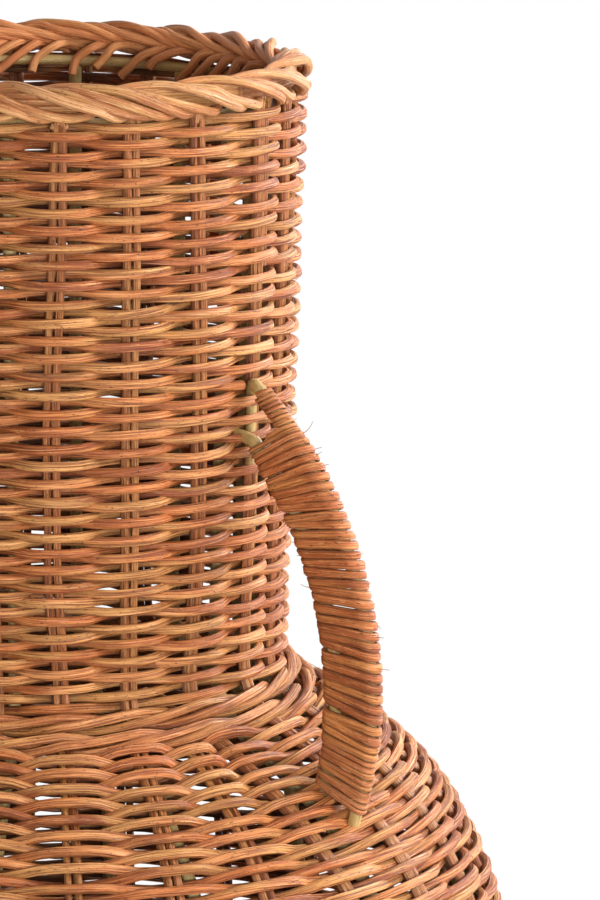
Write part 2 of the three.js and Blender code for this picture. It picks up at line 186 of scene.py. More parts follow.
def lay_canes(name, canes, reaches, width=1, twist="MINIMUM", shading_mask=shade_under_wall):
    """One mesh of canes, each a dict of points, radii and tone, of tilt where it is turned, and of ring where
    it closes on itself. Every point keeps its cane's tone, its lay, which is how far along the cane it is and
    where round it, and how much painted shading it takes, by default from how deep it lies under the wall."""
    sides = len(reaches)
    corners = np.linspace(0, 2 * math.pi, sides, endpoint=False)
    across = bpy.data.curves.new(name + "_section", "CURVE")
    rim = across.splines.new("POLY")
    rim.points.add(sides - 1)
    for point, reach, corner in zip(rim.points, reaches, corners):
        point.co = (width * reach * math.cos(corner), -reach * math.sin(corner), 0, 1)
    rim.use_cyclic_u = True
    section = bpy.data.objects.new(name + "_section", across)
    bpy.context.scene.collection.objects.link(section)
    curve = bpy.data.curves.new(name, "CURVE")
    curve.dimensions = "3D"
    curve.twist_mode = twist
    curve.bevel_mode = "OBJECT"
    curve.bevel_object = section
    lays = []
    tones = []
    for cane in canes:
        points, radii, ring = cane["points"], cane["radii"], cane.get("ring", False)
        tilt = cane.get("tilt", np.zeros(len(points)))
        if not ring:
            points, radii = with_cut_ends(points, radii)
            tilt = np.pad(tilt, 2, mode="edge")
        count = len(points)
        spline = curve.splines.new("POLY")
        spline.points.add(count - 1)
        spline.points.foreach_set("co", np.column_stack([points, np.ones(count)]).ravel())
        spline.points.foreach_set("radius", radii)
        spline.points.foreach_set("tilt", tilt)
        spline.use_cyclic_u = ring
        along = np.append(0, np.cumsum(np.linalg.norm(np.diff(points, axis=0), axis=1)))
        round_it = np.tile(np.stack([np.cos(corners), np.sin(corners)], axis=1), (count, 1))
        lays.append(np.column_stack([np.repeat(along, sides), round_it]))
        tones.append(np.full(count * sides, cane["tone"]))
    source = bpy.data.objects.new(name, curve)
    bpy.context.scene.collection.objects.link(source)
    made = source.evaluated_get(bpy.context.evaluated_depsgraph_get())
    mesh = bpy.data.meshes.new_from_object(made)
    for used in (source, section):
        bpy.data.objects.remove(used)
    for used in (curve, across):
        bpy.data.curves.remove(used)
    lay = np.vstack(lays)
    places = np.empty(lay.size)
    mesh.vertices.foreach_get("co", places)
    mesh.attributes.new("lay", "FLOAT_VECTOR", "POINT").data.foreach_set("vector", lay.ravel())
    mesh.attributes.new("tone", "FLOAT", "POINT").data.foreach_set("value", np.concatenate(tones))
    shading_amounts = shading_mask(places.reshape(-1, 3), lay)
    mesh.attributes.new("shading_mask", "FLOAT", "POINT").data.foreach_set("value", shading_amounts)
    bm = bmesh.new()
    bm.from_mesh(mesh)
    bmesh.ops.remove_doubles(bm, verts=bm.verts, dist=weld_reach)
    bm.to_mesh(mesh)
    bm.free()
    mesh.shade_smooth()
    mesh.set_sharp_from_angle(angle=crisp_ridge)
    piece = bpy.data.objects.new(name, mesh)
    bpy.context.scene.collection.objects.link(piece)
    return piece


def srgb(red, green, blue):
    """A colour as it looks on a screen, 0 to 255, as the linear values that a shader takes."""
    shares = [value / 255 for value in (red, green, blue)]
    return [s / 12.92 if s < 0.04045 else ((s + 0.055) / 1.055) ** 2.4 for s in shares] + [1]


def link_all(tree, *pairs):
    """Links between nodes, each from an output to an input."""
    for source, target in pairs:
        tree.links.new(source, target)


def cane_grain():
    """A node group of rattan's look: fibres along the cane, cane-to-cane tone, blotches, dark pores, and
    painted shading, a shaded colour mixed in by the shading mask: painted shade, or on the border painted
    warm light."""
    group = bpy.data.node_groups.new("cane_grain", "ShaderNodeTree")
    for label in ("Dark", "Middle", "Pale", "Gold", "Pore", "Stained"):
        group.interface.new_socket(label, in_out="INPUT", socket_type="NodeSocketColor")
    for label in ("Streaks", "Stain"):
        group.interface.new_socket(label, in_out="INPUT", socket_type="NodeSocketFloat")
    group.interface.new_socket("Color", in_out="OUTPUT", socket_type="NodeSocketColor")
    for label in ("Roughness", "Height"):
        group.interface.new_socket(label, in_out="OUTPUT", socket_type="NodeSocketFloat")
    add = group.nodes.new
    given = add("NodeGroupInput")
    out = add("NodeGroupOutput")
    lay = add("ShaderNodeAttribute")
    lay.attribute_name = "lay"
    tone = add("ShaderNodeAttribute")
    tone.attribute_name = "tone"
    shading_mask = add("ShaderNodeAttribute")
    shading_mask.attribute_name = "shading_mask"

    def noise(stretch, shift, detail):
        """Noise on the cane's own lay, stretched along it and shifted from cane to cane."""
        moved = add("ShaderNodeMath")
        moved.operation = "MULTIPLY"
        moved.inputs[1].default_value = shift
        spot = add("ShaderNodeVectorMath")
        spot.operation = "MULTIPLY_ADD"
        spot.inputs[1].default_value = stretch
        texture = add("ShaderNodeTexNoise")
        texture.inputs["Scale"].default_value = 1
        texture.inputs["Detail"].default_value = detail
        texture.inputs["Roughness"].default_value = 0.6
        link_all(
            group,
            (tone.outputs["Fac"], moved.inputs[0]),
            (lay.outputs["Vector"], spot.inputs[0]),
            (moved.outputs[0], spot.inputs[2]),
            (spot.outputs[0], texture.inputs["Vector"]),
        )
        return texture.outputs["Fac"]

    def ramp(value, low, high, to_low, to_high):
        """A value carried from one range to another, and held at the ends."""
        mapped = add("ShaderNodeMapRange")
        for socket, number in zip(mapped.inputs[1:5], (low, high, to_low, to_high)):
            socket.default_value = number
        group.links.new(value, mapped.inputs[0])
        return mapped.outputs[0]

    def mix(factor, first, second):
        """One colour turned into another by a factor."""
        node = add("ShaderNodeMix")
        node.data_type = "RGBA"
        link_all(group, (factor, node.inputs[0]), (first, node.inputs[6]), (second, node.inputs[7]))
        return node.outputs[2]

    def share_of(label, value):
        """A value times the share that a finish gives it."""
        share = add("ShaderNodeMath")
        share.operation = "MULTIPLY"
        link_all(group, (value, share.inputs[0]), (given.outputs[label], share.inputs[1]))
        return share.outputs[0]

    # How fine each is along the cane and across it, its shift from cane to cane, and its detail
    groove = noise((26, 2.3, 2.3), 71, 1)
    fibre = noise((75, 5, 5), 37, 2)
    blotch = noise((60, 0.4, 0.4), 91, 2)
    gold = noise((16, 0.2, 0.2), 131, 1)
    pore = noise((680, 4, 4), 53, 1)
    scuff = noise((260, 1.7, 1.7), 17, 2)
    shade = add("ShaderNodeMath")
    shade.operation = "ADD"
    link_all(
        group,
        (ramp(tone.outputs["Fac"], 0, 1, 0, 0.66), shade.inputs[0]),
        (ramp(blotch, 0.28, 0.72, 0, 0.34), shade.inputs[1]),
    )
    colour = mix(ramp(shade.outputs[0], 0, 0.5, 0, 1), given.outputs["Dark"], given.outputs["Middle"])
    colour = mix(ramp(shade.outputs[0], 0.5, 1, 0, 1), colour, given.outputs["Pale"])
    colour = mix(ramp(gold, 0.5, 0.6, 0, 0.7), colour, given.outputs["Gold"])
    colour = mix(ramp(scuff, 0.56, 0.7, 0, 0.45), colour, given.outputs["Pale"])
    colour = mix(share_of("Streaks", ramp(fibre, 0.56, 0.66, 0, 0.5)), colour, given.outputs["Pale"])
    colour = mix(share_of("Streaks", ramp(fibre, 0.48, 0.38, 0, 0.75)), colour, given.outputs["Dark"])
    colour = mix(share_of("Streaks", ramp(groove, 0.45, 0.37, 0, 0.65)), colour, given.outputs["Dark"])
    colour = mix(ramp(pore, 0.66, 0.71, 0, 0.85), colour, given.outputs["Pore"])
    # Painted shading: where the mask is set the colour goes over to the shaded colour, painted shade in the
    # weave's recesses and at the wrap's strip edges, painted warm bounce light on the border's inner
    # stretches
    colour = mix(share_of("Stain", shading_mask.outputs["Fac"]), colour, given.outputs["Stained"])
    relief = add("ShaderNodeMath")
    relief.operation = "ADD"
    link_all(
        group,
        (colour, out.inputs["Color"]),
        (ramp(fibre, 0.3, 0.7, 0.58, 0.42), out.inputs["Roughness"]),
        (ramp(groove, 0.34, 0.5, 0, 0.5), relief.inputs[0]),
        (ramp(fibre, 0.34, 0.56, 0, 0.5), relief.inputs[1]),
        (relief.outputs[0], out.inputs["Height"]),
    )
    return group


grain = cane_grain()
grain_strength = 0.8
cane_gloss = 0.42


def cane_finish(name, streaks=1, stain=0.75, relief=0.4 * mm, **colours):
    """A cane material with its own six colours for the grain, one of them the colour of its painted shading.
    """
    finish = bpy.data.materials.new(name)
    finish.use_nodes = True
    tree = finish.node_tree
    shader = tree.nodes["Principled BSDF"]
    look = tree.nodes.new("ShaderNodeGroup")
    look.node_tree = grain
    for label, colour in colours.items():
        look.inputs[label.capitalize()].default_value = srgb(*colour)
    look.inputs["Streaks"].default_value = streaks
    look.inputs["Stain"].default_value = stain
    bump = tree.nodes.new("ShaderNodeBump")
    bump.inputs["Strength"].default_value = grain_strength
    bump.inputs["Distance"].default_value = relief
    shader.inputs["Specular IOR Level"].default_value = cane_gloss
    link_all(
        tree,
        (look.outputs["Color"], shader.inputs["Base Color"]),
        (look.outputs["Roughness"], shader.inputs["Roughness"]),
        (look.outputs["Height"], bump.inputs["Height"]),
        (bump.outputs["Normal"], shader.inputs["Normal"]),
    )
    return finish


# Its shaded colour is painted shade on the stretches that lie deep in the weave
stake_finish = cane_finish(
    "stake_cane_finish",
    dark=(94, 41, 16), middle=(166, 97, 51), pale=(202, 140, 86),
    gold=(182, 127, 68), pore=(50, 22, 10), stained=(52, 19, 6),
)
stake_nodes = {column: f"stake_{k + 1:02d}" for k, column in enumerate(neck_columns)}
stake_nodes.update({column: f"added_stake_{m + 1}" for m, column in enumerate(added_columns)})
# The canes of a pair, beside its middle in shares of their thickness, and a third one that is pushed down a
# short way from the rim beside the stakes of every fourth column
pair_sides = (-0.52, 0.52)
third_side = 1.5
third_every = 4
stake_rng = np.random.default_rng(3)
for column, node in stake_nodes.items():
    has_third = column not in added_columns and column % third_every == 0
    top = wale_end if column in added_columns else 0
    along = np.linspace(top, base_end, round((base_end - top) / stake_step))
    turn = 2 * math.pi * along / base_end
    middle = stake_angle(column, along)
    radius = np.linalg.norm(on_wall(along, middle, stake_depth)[:, :2], axis=1)
    pair = []
    for side in (*pair_sides, third_side):
        across = side * stake_cane + wander(stake_rng, turn, (3, 5, 8, 13), 0.22 * mm)
        sunk = stake_depth + wander(stake_rng, turn, (4, 7, 11), 0.15 * mm)
        thickness = stake_rng.uniform(0.45, 0.53) * stake_cane * (1 + wander(stake_rng, turn, (5, 9), 0.03))
        points = on_wall(along, middle + across / radius, sunk)
        tone = stake_rng.uniform(0.1, 0.9)
        tilt = stake_rng.uniform(0, 2 * math.pi) + wander(stake_rng, turn, (1, 2), 0.8)
        steps_down = round(stake_rng.uniform(8, 44))
        if side == third_side and not has_third:
            continue
        kept = slice(0, steps_down if side == third_side else None)
        pair.append({"points": points[kept], "radii": thickness[kept], "tone": tone, "tilt": tilt[kept]})
    piece = lay_canes(node + "_pair", pair, ridged_cane)
    piece.data.materials.append(stake_finish)
    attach(piece, "root")
    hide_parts(node)


# Weavers. Long round core canes that pass in front of one stake and behind the next, each round on the other
# side of the stakes than the round before. They are beaten down by hand, so the rounds wander, differ in
# thickness and colour, and leave slits beside the stakes.

weaver = 3.1 * mm
belly_weaver = 3.26 * mm
neck_pitch = 2.77 * mm
belly_pitch = 2.97 * mm
base_pitch = 2.95 * mm
# How much closer together the rounds of the neck lie towards its foot
neck_tightening = 0.038
# How far a weaver swings out and in at the stakes, and how much fuller than a plain wave its arches are
weave_swing = 2.7 * mm
arch_fullness = 0.125
# Points of a weaver from one stake to the next
gap_steps = 6
# Its shaded colour is painted shade on weavers where they dive deep between the stakes
weave_finish = cane_finish(
    "weave_cane_finish",
    dark=(108, 45, 16), middle=(188, 107, 53), pale=(218, 155, 95),
    gold=(200, 147, 84), pore=(48, 19, 8), stained=(52, 17, 5),
)


def crossings(along):
    """The angles at which a round of weaving meets the stakes."""
    met = neck_columns if along < wale_end else range(columns)
    return np.array([float(stake_angle(column, np.array(along))) for column in met])


def weaving(rng, along, first_side, cane, gap=None):
    """One round of weaving as a cane, cut open over a gap between two angles where one is given."""
    met = crossings(along)
    # The round starts and ends at the back
    met = np.roll(met, -(len(met) // 3))
    met[met < met[0]] += 2 * math.pi
    step = np.arange(gap_steps) / gap_steps
    widths = np.diff(np.append(met, met[0] + 2 * math.pi))
    angle = (met[:, None] + widths[:, None] * step).ravel()
    ease = (1 - np.cos(math.pi * step)) / 2

    def between(values):
        """Values at the stakes, eased from each to the next."""
        return (values[:, None] * (1 - ease) + np.roll(values, -1)[:, None] * ease).ravel()

    side = first_side * (-1.0) ** np.arange(len(met))
    arch = (1 + arch_fullness) * np.cos(math.pi * step) - arch_fullness * np.cos(3 * math.pi * step)
    out = (side[:, None] * arch).ravel() * between(rng.normal(1, 0.1, len(met))) * weave_swing
    slip = between(rng.normal(0, 0.24 * mm, len(met))) + wander(rng, angle, (1, 2, 3, 5), 0.3 * mm)
    thickness = cane * rng.uniform(0.9, 1.08)
    points = on_wall(along + slip, angle, stake_depth - out)
    radii = thickness / 2 * (1 + wander(rng, angle, (4, 7, 11), 0.03))
    tilt = rng.uniform(0, 2 * math.pi) + wander(rng, angle, (1, 2, 3), 1.2)
    laid = {"points": points, "radii": radii, "tone": rng.beta(1.5, 1.5), "tilt": tilt, "ring": True}
    if gap is not None:
        kept = np.linspace(gap[1], gap[0] + 2 * math.pi, len(angle))
        lines = [np.interp(kept, angle, line, period=2 * math.pi) for line in (*points.T, radii, tilt)]
        points = np.stack(lines[:3], axis=1)
        laid.update({"points": points, "radii": lines[3], "tilt": lines[4], "ring": False})
    return laid


weave_rng = np.random.default_rng(8)
# Heights at which the handle's canes go in, with how far above and below them the rounds are parted, and the
# least and most that the two cut ends of such a round lie to the side of the handle
handle_roots = [(373 * mm, 2 * mm), (252 * mm, 1 * mm)]
cuts_least = np.array((-0.6, 2.7)) * mm
cuts_most = np.array((0.4, 3.4)) * mm


def rounds(first, last, pitch, cane, tightening=0):
    """The rounds of weaving between two places on the run, parted where the handle's canes go in."""
    woven = []
    count = round((last - first) / pitch)
    for i in range(count):
        share = (i + 0.5) / count
        along = first + (last - first) * (share + tightening * share * (1 - share))
        radius = np.interp(along, run, outline[:, 0])
        height = np.interp(along, run, outline[:, 1])
        gap = None
        if any(abs(height - root) < reach for root, reach in handle_roots):
            gap = weave_rng.uniform(cuts_least, cuts_most) / radius
        woven.append(weaving(weave_rng, along, 1 if i % 2 else -1, cane, gap))
    return woven


weave_start = 1.4 * mm
twine_height = 13 * mm
twine_lap = 1.2 * mm
twine_top = wale_end - twine_height
belly_low = np.interp(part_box("belly_weave")[0].z, outline[::-1, 1], run[::-1])
# Each stretch of the wall from its first to its last place on the run, with its pitch and its weaver
woven_stretches = {
    "neck_weave": (weave_start, twine_top, neck_pitch, weaver, neck_tightening),
    "shoulder_weave": (wale_end - twine_lap, shoulder_end, belly_pitch, belly_weaver),
    "belly_weave": (shoulder_end, belly_low, belly_pitch, belly_weaver),
    "foot_weave": (belly_low, foot_end, belly_pitch, belly_weaver),
    "base_weave": (foot_end, base_end, base_pitch, weaver),
}
# A loose fibre tapers from its root to its tip
fibre_radii = np.linspace(0.15, 0.07, 8) * mm


def loose_fibres(rng, points, outs, longest, count):
    """Hairs that have split off a cane here and there: each leaves along it, and bends away and curls."""
    reach = np.linspace(0, 1, len(fibre_radii))[:, None]
    hairs = []
    for i in rng.choice(np.arange(1, len(points) - 1), count):
        way = (points[i + 1] - points[i - 1]) * rng.choice([-1, 1])
        length = longest * rng.uniform(0.2, 1)
        bent = reach ** 2 * (rng.uniform(0.05, 0.6) * outs[i] + rng.normal(0, 0.2, 3))
        curled = reach ** 3 * rng.normal(0, 0.35, 3)
        hair = points[i] + length * (reach * way / np.linalg.norm(way) + bent + curled)
        hairs.append({"points": hair, "radii": fibre_radii, "tone": rng.uniform(0.3, 1)})
    return hairs


fibre_rng = np.random.default_rng(15)
fibre_counts = {"neck_weave": 100, "shoulder_weave": 60}
fibre_length = 6 * mm
fibre_start = 0.45 * weaver
for node, stretch in woven_stretches.items():
    woven = rounds(*stretch)
    laid = np.vstack([cane["points"] for cane in woven])
    outs = laid * (1, 1, 0) / np.linalg.norm(laid[:, :2], axis=1)[:, None]
    count = fibre_counts.get(node, 0)
    woven += loose_fibres(fibre_rng, laid + fibre_start * outs, outs, fibre_length, count)
    piece = lay_canes(node + "_rounds", woven, ridged_cane)
    piece.data.materials.append(weave_finish)
    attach(piece, "root")
    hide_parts(node)


# Twined band at the foot of the neck. Three canes work round together, each in front of two stakes and
# behind the third, so their long slanted strokes lap over each other like a rope.

twine_rounds = 2
twine_canes = 3
twine_start = 8
twine_pitch = twine_height / twine_rounds
twine_lean = 1.7 * mm
twine_rise = 0.5 * mm
# Its shaded colour is painted shade on the twine's deep stretches
twine_finish = cane_finish(
    "twine_cane_finish",
    dark=(110, 49, 20), middle=(182, 109, 57), pale=(214, 153, 96),
    gold=(197, 140, 76), pore=(54, 24, 11), stained=(52, 19, 6),
)
twine_gaps = twine_rounds * neck_stakes
met = np.arange(twine_start, twine_start + twine_gaps + 1)
angles = crossings(neck_end)[met % neck_stakes] + 2 * math.pi * (met // neck_stakes)
fine = np.arange(twine_gaps * gap_steps + 1) / gap_steps
angle = np.interp(fine, met - twine_start, angles)
# Over the last tenth of a round the canes step down to the next
done = fine / neck_stakes
level = np.floor(done) + np.clip((done % 1 - 0.9) / 0.1, 0, 1)
twine_rng = np.random.default_rng(21)
twined = []
for first in range(twine_canes):
    phase = (fine - first) % twine_canes / twine_canes
    stroke = 2 * math.pi * (phase - 1 / 6)
    out = weave_swing * np.clip(0.35 + 1.3 * np.cos(stroke), -1, 1)
    along = twine_top + twine_pitch * np.clip(0.45 + level, 0, twine_rounds - 0.5)
    along -= twine_lean * np.sin(stroke)
    along += wander(twine_rng, angle, (1, 2, 3), 0.3 * mm)
    points = on_wall(along, angle, stake_depth - twine_rise - out)
    tone = twine_rng.uniform(0.3, 0.9)
    tilt = wander(twine_rng, angle, (1, 2, 3), 2)
    twined.append({"points": points, "radii": np.full(len(fine), weaver / 2), "tone": tone, "tilt": tilt})
piece = lay_canes("shoulder_wale_twine", twined, ridged_cane)
piece.data.materials.append(twine_finish)
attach(piece, "root")
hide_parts("shoulder_wale")


# Crossing in the base. Two layers of canes laid across each other, where the stakes start, held at the edge
# by the first rounds of the base; it only shows from below, or through the mouth of the empty vase.

cross_low, cross_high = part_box("base_cross")
cross_radius = cross_high.x
cross_height = (cross_low.z + cross_high.z) / 2
cross_canes = 26
cross_spread = 0.86 * cross_radius
cross_rise = 1.25 * mm
cross_play = 0.5 * mm
cross_points = 9
cross_rng = np.random.default_rng(33)
crossed = []
for layer, turn in ((1, 0), (-1, math.pi / 2)):
    for place in np.linspace(-cross_spread, cross_spread, cross_canes):
        reach = math.sqrt(cross_radius ** 2 - place ** 2) - cross_play
        along = np.linspace(-reach, reach, cross_points)
        across = place + wander(cross_rng, along / cross_radius, (1, 2), 0.2 * mm)
        height = cross_height + layer * cross_rise
        height = height + wander(cross_rng, along / cross_radius, (1, 3), 0.1 * mm)
        points = np.stack([along * math.cos(turn) - across * math.sin(turn),
                           along * math.sin(turn) + across * math.cos(turn), height], axis=1)
        radii = np.full(cross_points, stake_cane / 2)
        crossed.append({"points": points, "radii": radii, "tone": cross_rng.uniform(0, 1)})
piece = lay_canes("base_cross_canes", crossed, round_cane)
piece.data.materials.append(stake_finish)
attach(piece, "root")
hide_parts("base_cross")


# Foot hoop. One thick cane, peeled and bent wet to a ring that the vase stands on. It lies flat against the
# weave of the base.

foot_low, foot_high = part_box("foot_hoop")
foot_cane = foot_high.z - foot_low.z
foot_radius = foot_high.x - foot_cane / 2
thick_cane = [1] * 12
peeled_finish = cane_finish(
    "peeled_cane_finish", streaks=0.4, stain=0, relief=0.1 * mm,
    dark=(146, 116, 66), middle=(184, 156, 100), pale=(208, 186, 134),
    gold=(178, 144, 84), pore=(98, 72, 40), stained=(98, 72, 40),
)
ring_points = 96
ring_turn = np.linspace(0, 2 * math.pi, ring_points, endpoint=False)
foot_radii = np.full(ring_points, foot_cane / 2)
foot_ring = np.stack([foot_radius * np.cos(ring_turn), foot_radius * np.sin(ring_turn), foot_radii], axis=1)
hoop = [{"points": foot_ring, "radii": foot_radii, "tone": 0.4, "ring": True}]
piece = lay_canes("foot_hoop_cane", hoop, thick_cane)
piece.data.materials.append(peeled_finish)
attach(piece, "root")
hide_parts("foot_hoop")


# Posts and rim hoop. Twelve peeled canes stand inside the weave and stiffen it from the base to the rim,
# butted under a thinner peeled cane that is bent to a ring inside the mouth.

hoop_low, hoop_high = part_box("rim_hoop")
hoop_cane = hoop_high.z - hoop_low.z
hoop_radius = hoop_high.x - hoop_cane / 2
hoop_height = (hoop_low.z + hoop_high.z) / 2
post_cane = 4.2 * mm
post_depth = 10.4 * mm
post_count = 12
post_points = 120
post_play = 0.3 * mm
post_top = weave_top.y - hoop_low.z + post_play
post_rng = np.random.default_rng(45)
for i in range(post_count):
    along = np.linspace(post_top, foot_end, post_points)
    turn = 2 * math.pi * along / foot_end
    angle = i * 2 * math.pi / post_count + wander(post_rng, turn, (2, 3, 5), 0.003)
    post = {"points": on_wall(along, angle, post_depth), "tone": post_rng.uniform(0.2, 0.8),
            "radii": post_cane / 2 * (1 + wander(post_rng, turn, (3, 7, 12), 0.02))}
    piece = lay_canes(f"frame_post_{i + 1:02d}_cane", [post], round_cane)
    piece.data.materials.append(peeled_finish)
    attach(piece, "root")
    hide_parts(f"frame_post_{i + 1:02d}")
hoop_out = hoop_radius + wander(post_rng, ring_turn, (2, 3, 5), 0.5 * mm)
hoop_level = hoop_height + rim_rise(ring_turn) + wander(post_rng, ring_turn, (2, 4), 0.3 * mm)
hoop_ring = np.stack([hoop_out * np.cos(ring_turn), hoop_out * np.sin(ring_turn), hoop_level], axis=1)
hoop_radii = np.full(ring_points, hoop_cane / 2)
hoop = [{"points": hoop_ring, "radii": hoop_radii, "tone": 0.6, "ring": True}]
piece = lay_canes("rim_hoop_cane", hoop, round_cane)
piece.data.materials.append(peeled_finish)
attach(piece, "root")
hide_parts("rim_hoop")


# Rim border. The ends of each stake are turned down together: the canes rise inside, go over the crest, run
# down the outside in a long slant and end inside again, where they are cut off short over the hoop.

border_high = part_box("rim_border")[1]
crest_height = 5.2 * mm
border_reach = 6.6 * mm
border_middle = border_high.z - crest_height
border_radius = border_high.x - border_reach
border_cane = 2.85 * mm
filler_cane = 3 * mm
smooth_cane = [1.02, 0.97, 1, 0.98, 1.01, 0.97, 1.02, 0.98, 1, 0.98]
# Its shaded colour is a paler, warmer orange: painted warm bounce light on the plait's inner stretches inside
# the mouth
border_finish = cane_finish(
    "border_cane_finish", streaks=0.7, stain=0.45,
    dark=(134, 67, 30), middle=(196, 130, 76), pale=(222, 177, 126),
    gold=(208, 157, 94), pore=(72, 36, 16), stained=(236, 144, 86),
)
# Degrees round the rim, then millimetres out of and above the middle of the border
border_route = np.array([
    (0, 0.5, -8), (0.5, 0.3, -4.4), (3.5, -2.6, -1.6), (9, -5, 0.6), (16, -3.9, 2.8), (22, -0.2, 3.7),
    (28, 3.4, 2.6), (34, 4.9, -0.2), (40, 5, -3.1), (44.5, 3.3, -4.6), (48, 0.2, -3.6), (51.5, -3.4, -1.8),
    (55, -6.6, -2.4), (58, -8.7, -5.8), (61.5, -9.4, -10.4),
])
# In the same measures, how much the knots of a route and of its cut end stray, and how the canes of one stake
# lie beside each other: over the crest, and round the rim at the foot, at the bend and from there on
route_stray = (0.5, 0.25, 0.25)
end_stray = (1.2, 0.4, 0.9)
crest_shifts = ((0, 0.3, 0.6), (0, -0.3, -0.5), (0, 0.2, -0.2))
foot_shifts = (-1, 1, 3)
bend_shifts = (0, 3, 5)
plait_shifts = (0, 6.2, 11)
arc_steps = 6


def through(knots, steps):
    """A smooth line through knots, by cubic arcs that leave each knot towards its neighbours."""
    ways = np.gradient(knots, axis=0)
    share = np.linspace(0, 1, steps, endpoint=False)[:, None]
    arcs = []
    for a, b, way_a, way_b in zip(knots[:-1], knots[1:], ways[:-1], ways[1:]):
        arcs.append((2 * share ** 3 - 3 * share ** 2 + 1) * a + (share ** 3 - 2 * share ** 2 + share) * way_a
                    + (3 * share ** 2 - 2 * share ** 3) * b + (share ** 3 - share ** 2) * way_b)
    return np.vstack(arcs + [knots[-1:]])


border_rng = np.random.default_rng(52)
plaited = []
for column in neck_columns:
    for place in range(2 if column % third_every else 3):
        route = border_route + border_rng.normal(0, 1, border_route.shape) * route_stray
        route[-2:] += border_rng.normal(0, 1, (2, 3)) * end_stray
        route[4:9] += crest_shifts[place]
        route[:2, 0] += foot_shifts[place]
        route[2, 0] += bend_shifts[place]
        route[3:, 0] += plait_shifts[place]
        line = through(route, arc_steps)
        angle = np.radians(line[:, 0]) + stake_angle(column, np.array(0.0))
        out = border_radius + line[:, 1] * mm
        height = border_middle + rim_rise(angle) + line[:, 2] * mm
        points = np.stack([out * np.cos(angle), out * np.sin(angle), height], axis=1)
        radii = np.full(len(points), border_cane / 2 * border_rng.uniform(0.94, 1.1))
        radii[:arc_steps + 1] *= np.linspace(0.7, 1, arc_steps + 1)
        tilt = border_rng.uniform(0, 2 * math.pi) + np.linspace(0, border_rng.normal(0, 1), len(points))
        plaited.append({"points": points, "radii": radii, "tone": border_rng.uniform(0.1, 1), "tilt": tilt})
# Three rings fill the middle of the plait
for lift in (-2 * mm, 0, 2 * mm):
    height = border_middle + rim_rise(ring_turn) + lift
    points = np.stack([border_radius * np.cos(ring_turn), border_radius * np.sin(ring_turn), height], axis=1)
    radii = np.full(ring_points, filler_cane / 2)
    plaited.append({"points": points, "radii": radii, "tone": 0.1, "ring": True})
piece = lay_canes("rim_border_plait", plaited, smooth_cane)
piece.data.materials.append(border_finish)
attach(piece, "root")
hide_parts("rim_border")


# Handle canes. Two peeled canes side by side, pushed into the weave of the shoulder and of the neck. At the
# neck the inner one ends between the rounds, and the outer one is bent over and runs down beside a stake.

core_cane = 4.4 * mm
core_spacing = 13.2 * mm
core_points = 60
core_play = 0.5 * mm
inner_start = 9.5 * mm
handle_top_height = 367 * mm
handle_foot_radius = 115 * mm
handle_dip = math.radians(43)
foot_lean = math.radians(15.5)
handle_inside = 12 * mm
shoulder = outline[(run > neck_end) & (run < belly_middle)]
handle_top = Vector((np.interp(-handle_top_height, -outline[:, 1], outline[:, 0]), handle_top_height))
handle_foot = Vector((handle_foot_radius, np.interp(handle_foot_radius, shoulder[:, 0], shoulder[:, 1])))
top_way = Vector((math.cos(handle_dip), -math.sin(handle_dip)))
foot_way = Vector((-math.sin(foot_lean), -math.cos(foot_lean)))
handle_line = bend(handle_top, top_way, 56 * mm, handle_foot, foot_way, 36 * mm, 200)
handle_line.insert(0, handle_top - top_way * handle_inside)
handle_line.append(handle_foot + foot_way * handle_inside)
handle_line = np.array(handle_line)
handle_run = np.append(0, np.cumsum(np.linalg.norm(np.diff(handle_line, axis=0), axis=1))) - handle_inside
handle_ways = np.gradient(handle_line, handle_run, axis=0)
handle_ways /= np.linalg.norm(handle_ways, axis=1)[:, None]
handle_length = handle_run[-2]


def on_handle(along, across, beside):
    """Points beside the handle's middle line, and the way it runs there; across is away from the vase."""
    place = np.stack([np.interp(along, handle_run, handle_line[:, i]) for i in (0, 1)], axis=1)
    way = np.stack([np.interp(along, handle_run, handle_ways[:, i]) for i in (0, 1)], axis=1)
    place = place + np.stack([-way[:, 1], way[:, 0]], axis=1) * np.asarray(across)[:, None]
    points = np.stack([place[:, 0], beside, place[:, 1]], axis=1)
    return points, np.stack([way[:, 0], 0 * beside, way[:, 1]], axis=1)


# Each root from its end to the handle: radius, degrees about the axis and height, and thickness of the cane
roots = {
    "handle_core_outer": [
        (76.2, 4.6, 345, 3.4), (76.8, 4.6, 366, 3.4), (77.6, 3.7, 370.6, 3.8), (80.4, 1.6, 373, 4.2)
    ],
    "handle_core_inner": [(74.6, 0.8, 357, 3.8), (78, 0.5, 356.6, 4)],
}
for node, side, start in (("handle_core_outer", 1, 0), ("handle_core_inner", -1, inner_start)):
    root = np.array(roots[node])
    along = np.linspace(start, handle_length, core_points)
    points, ways = on_handle(along, np.full(core_points, side * core_spacing / 2), np.zeros(core_points))
    reach_down = points[-1, 2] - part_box(node)[0].z - core_play
    turn = np.radians(root[:, 1])
    knots = np.stack([root[:, 0] * np.cos(turn), root[:, 0] * np.sin(turn), root[:, 2]], axis=1) * mm
    into_weave = through(np.vstack([knots, points[:1]]), arc_steps)[:-1]
    thickness = np.interp(np.arange(len(into_weave)) / arc_steps, np.arange(len(root)), root[:, 3]) * mm
    points = np.vstack([into_weave, points, points[-1] + ways[-1] * reach_down])
    radii = np.append(thickness, np.full(core_points + 1, core_cane)) / 2
    cane = {"points": points, "radii": radii, "tone": 0.4 + 0.1 * side}
    piece = lay_canes(node + "_cane", [cane], round_cane)
    piece.data.materials.append(peeled_finish)
    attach(piece, "root")
    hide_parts(node)


# Handle wrap. Half-round strips wound tightly round both canes from the neck down, at first round the outer
# cane alone, each laid on where the last ends. The turns fan out below the neck, and their edges fray.

strip_share = 0.56
strip_cane = [0.9, 1, 1.08, 1, 0.95, 1.02, 1.06, 0.96, 0.88, 1]
strip_count = 9
wrap_top = 1 * mm
wrap_foot = handle_length + 1 * mm
